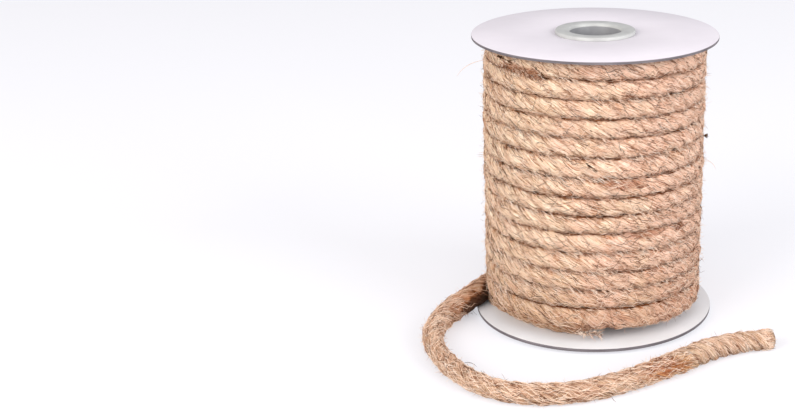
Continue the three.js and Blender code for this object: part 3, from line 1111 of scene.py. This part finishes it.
# White paperboard, coated and pressed flat: half matt and very softly uneven, with a fine grain
board = {
    "upperFace": ("#dad4db", "#e2dce3"),  # faintly lilac
    "lowerFace": ("#d7d6d7", "#dfdfe2"),  # cooler, because the rope's glow warms it
    "roughness": 0.55,
    "softSize": 0.016667,  # m, of its patches
    "softDetail": 3.0,
    "grainSize": 0.0004,  # m, coarser than the real grain so that it shows
    "reliefStrength": 0.15,
}
boardEdge = {
    "low": "#5c565a",
    "high": "#7d767a",
    "roughness": 0.9,
    "lineLength": 0.0083333,  # m
    "plyThickness": 0.00025,
}

# Light grey polypropylene, moulded: satin, with the faint grain of its mould
hub = {
    "outside": ("#a9a9a8", "#b6b7b5"),
    "inside": ("#808083", "#8b8b8e"),  # the bore, darker as painted shade
    "roughness": 0.42,
    "softSize": 0.0033333,  # m, coarser than a real grain so that it shows
    "softDetail": 2.0,
    "grainSize": 0.0033333,
    "reliefStrength": 0.2,
}


def smoothMaterial(name, look, low, high):  # two near tones softly mixed, and a slight relief
    material, tree, shader = newMaterial(name, look["roughness"])
    place = addNode(tree, "TexCoord").outputs["Object"]
    soft = addNode(tree, "TexNoise", {"Vector": place, "Scale": 1 / look["softSize"],
                                      "Detail": look["softDetail"]}).outputs["Fac"]
    colour = addNode(tree, "ValToRGB", {"Fac": soft}, [(0.3, low), (0.7, high)])
    grain = addNode(tree, "TexNoise", {"Vector": place, "Scale": 1 / look["grainSize"],
                                       "Detail": 2.0}).outputs["Fac"]
    bump = addNode(tree, "Bump", {"Height": grain, "Strength": look["reliefStrength"],
                                  "Distance": 0.05 * mm})
    tree.links.new(colour.outputs["Color"], shader.inputs["Base Color"])
    tree.links.new(bump.outputs["Normal"], shader.inputs["Normal"])
    return material


# The boards' cut edge, grey board pressed from plies: matt, with the plies as faint level lines
def boardEdgeMaterial():
    material, tree, shader = newMaterial("cutBoardEdge", boardEdge["roughness"])
    place = addNode(tree, "TexCoord").outputs["Object"]
    scale = (1 / boardEdge["lineLength"], 1 / boardEdge["lineLength"], 1 / boardEdge["plyThickness"])
    plies = addNode(tree, "Mapping", {"Vector": place, "Scale": scale}).outputs["Vector"]
    lines = addNode(tree, "TexNoise", {"Vector": plies, "Scale": 1.0, "Detail": 2.0}).outputs["Fac"]
    colour = addNode(tree, "ValToRGB", {"Fac": lines}, [(0.35, boardEdge["low"]), (0.7, boardEdge["high"])])
    tree.links.new(colour.outputs["Color"], shader.inputs["Base Color"])
    return material


def dress():
    twisted = juteMaterial()
    for piece in (looseEnd, woundRope, innerRope):
        piece.data.materials.append(twisted)
    fibreMaterials = {name: fibreMaterial(name, tones) for name, tones in fibreTones.items()}
    for piece in fibrePieces + tuftPieces + longPieces:
        piece.data.materials.append(fibreMaterials[otherFibres.get(piece.name, "juteFibre")])
    edge = boardEdgeMaterial()
    for piece, tones in ((upperBoard, board["upperFace"]), (lowerBoard, board["lowerFace"])):
        piece.data.materials.append(smoothMaterial("coatedBoard", board, *tones))
        piece.data.materials.append(edge)
        for polygon in piece.data.polygons:
            polygon.material_index = 1 if abs(polygon.normal.z) < 0.5 else 0
    outside = smoothMaterial("mouldedHub", hub, *hub["outside"])
    # painted shade: the bore's faces take a darker grey
    inside = smoothMaterial("hubBoreShade", hub, *hub["inside"])
    for piece in (upperBushing, lowerBushing):
        piece.data.materials.append(outside)
        piece.data.materials.append(inside)
        for polygon in piece.data.polygons:
            reach = math.hypot(polygon.center.x, polygon.center.y)
            polygon.material_index = 1 if reach < spool["bore"] + 0.02 * mm else 0


dress()
print("materials made")


# Floor and light

studio = {
    "floor": "#bcbcbf",
    "floorRoughness": 0.7,
    "floorGlow": 0.455,
    "floorGlowColour": "#fbfaff",
    "world": 0.6,
    "worldColour": "#fbfbff",
}
lights = {  # sizes in metres and powers in watts
    "key": {"place": (-0.75, -0.8, 0.5), "aim": (0, 0, 0.05), "size": 0.7, "power": 11.0,
            "colour": "#fffaf4"},
    "fill": {"place": (0.95, -0.6, 0.45), "aim": (0, 0, 0.05), "size": 0.8, "power": 12.1,
             "colour": "#ffffff"},
    "front": {"place": (0, -1.1, 0.8), "aim": (0, 0, 0.03), "size": 1.2, "power": 5.7,
              "colour": "#ffffff"},
}

bpy.context.scene.view_settings.view_transform = "Standard"


# A matt sheet of pale paper, which glows as well so that the shadows on it stay faint
def addFloor():
    bpy.ops.object.select_all(action="DESELECT")
    bpy.ops.mesh.primitive_plane_add(size=12)
    floor = bpy.context.object
    floor.name = "floor"
    material, tree, shader = newMaterial("paleFloor", studio["floorRoughness"])
    shader.inputs["Base Color"].default_value = linear(studio["floor"])
    shader.inputs["Emission Color"].default_value = linear(studio["floorGlowColour"])
    shader.inputs["Emission Strength"].default_value = studio["floorGlow"]
    floor.data.materials.append(material)
    floor.visible_diffuse = False  # it doesn't light the rope from below


def addAreaLight(name, place, aim, size, power, colour):
    data = bpy.data.lights.new(name, "AREA")
    data.size, data.energy, data.color = size, power, linear(colour)[:3]
    light = bpy.data.objects.new(name, data)
    bpy.context.scene.collection.objects.link(light)
    light.location = place
    light.rotation_euler = (Vector(place) - Vector(aim)).to_track_quat("Z", "Y").to_euler()


def addWorld():
    world = bpy.data.worlds.new("studio")
    world.use_nodes = True
    background = world.node_tree.nodes["Background"]
    background.inputs["Color"].default_value = linear(studio["worldColour"])
    background.inputs["Strength"].default_value = studio["world"]
    bpy.context.scene.world = world


addFloor()
for name, settings in lights.items():
    addAreaLight(name, **settings)
addWorld()
print("floor and lights set")
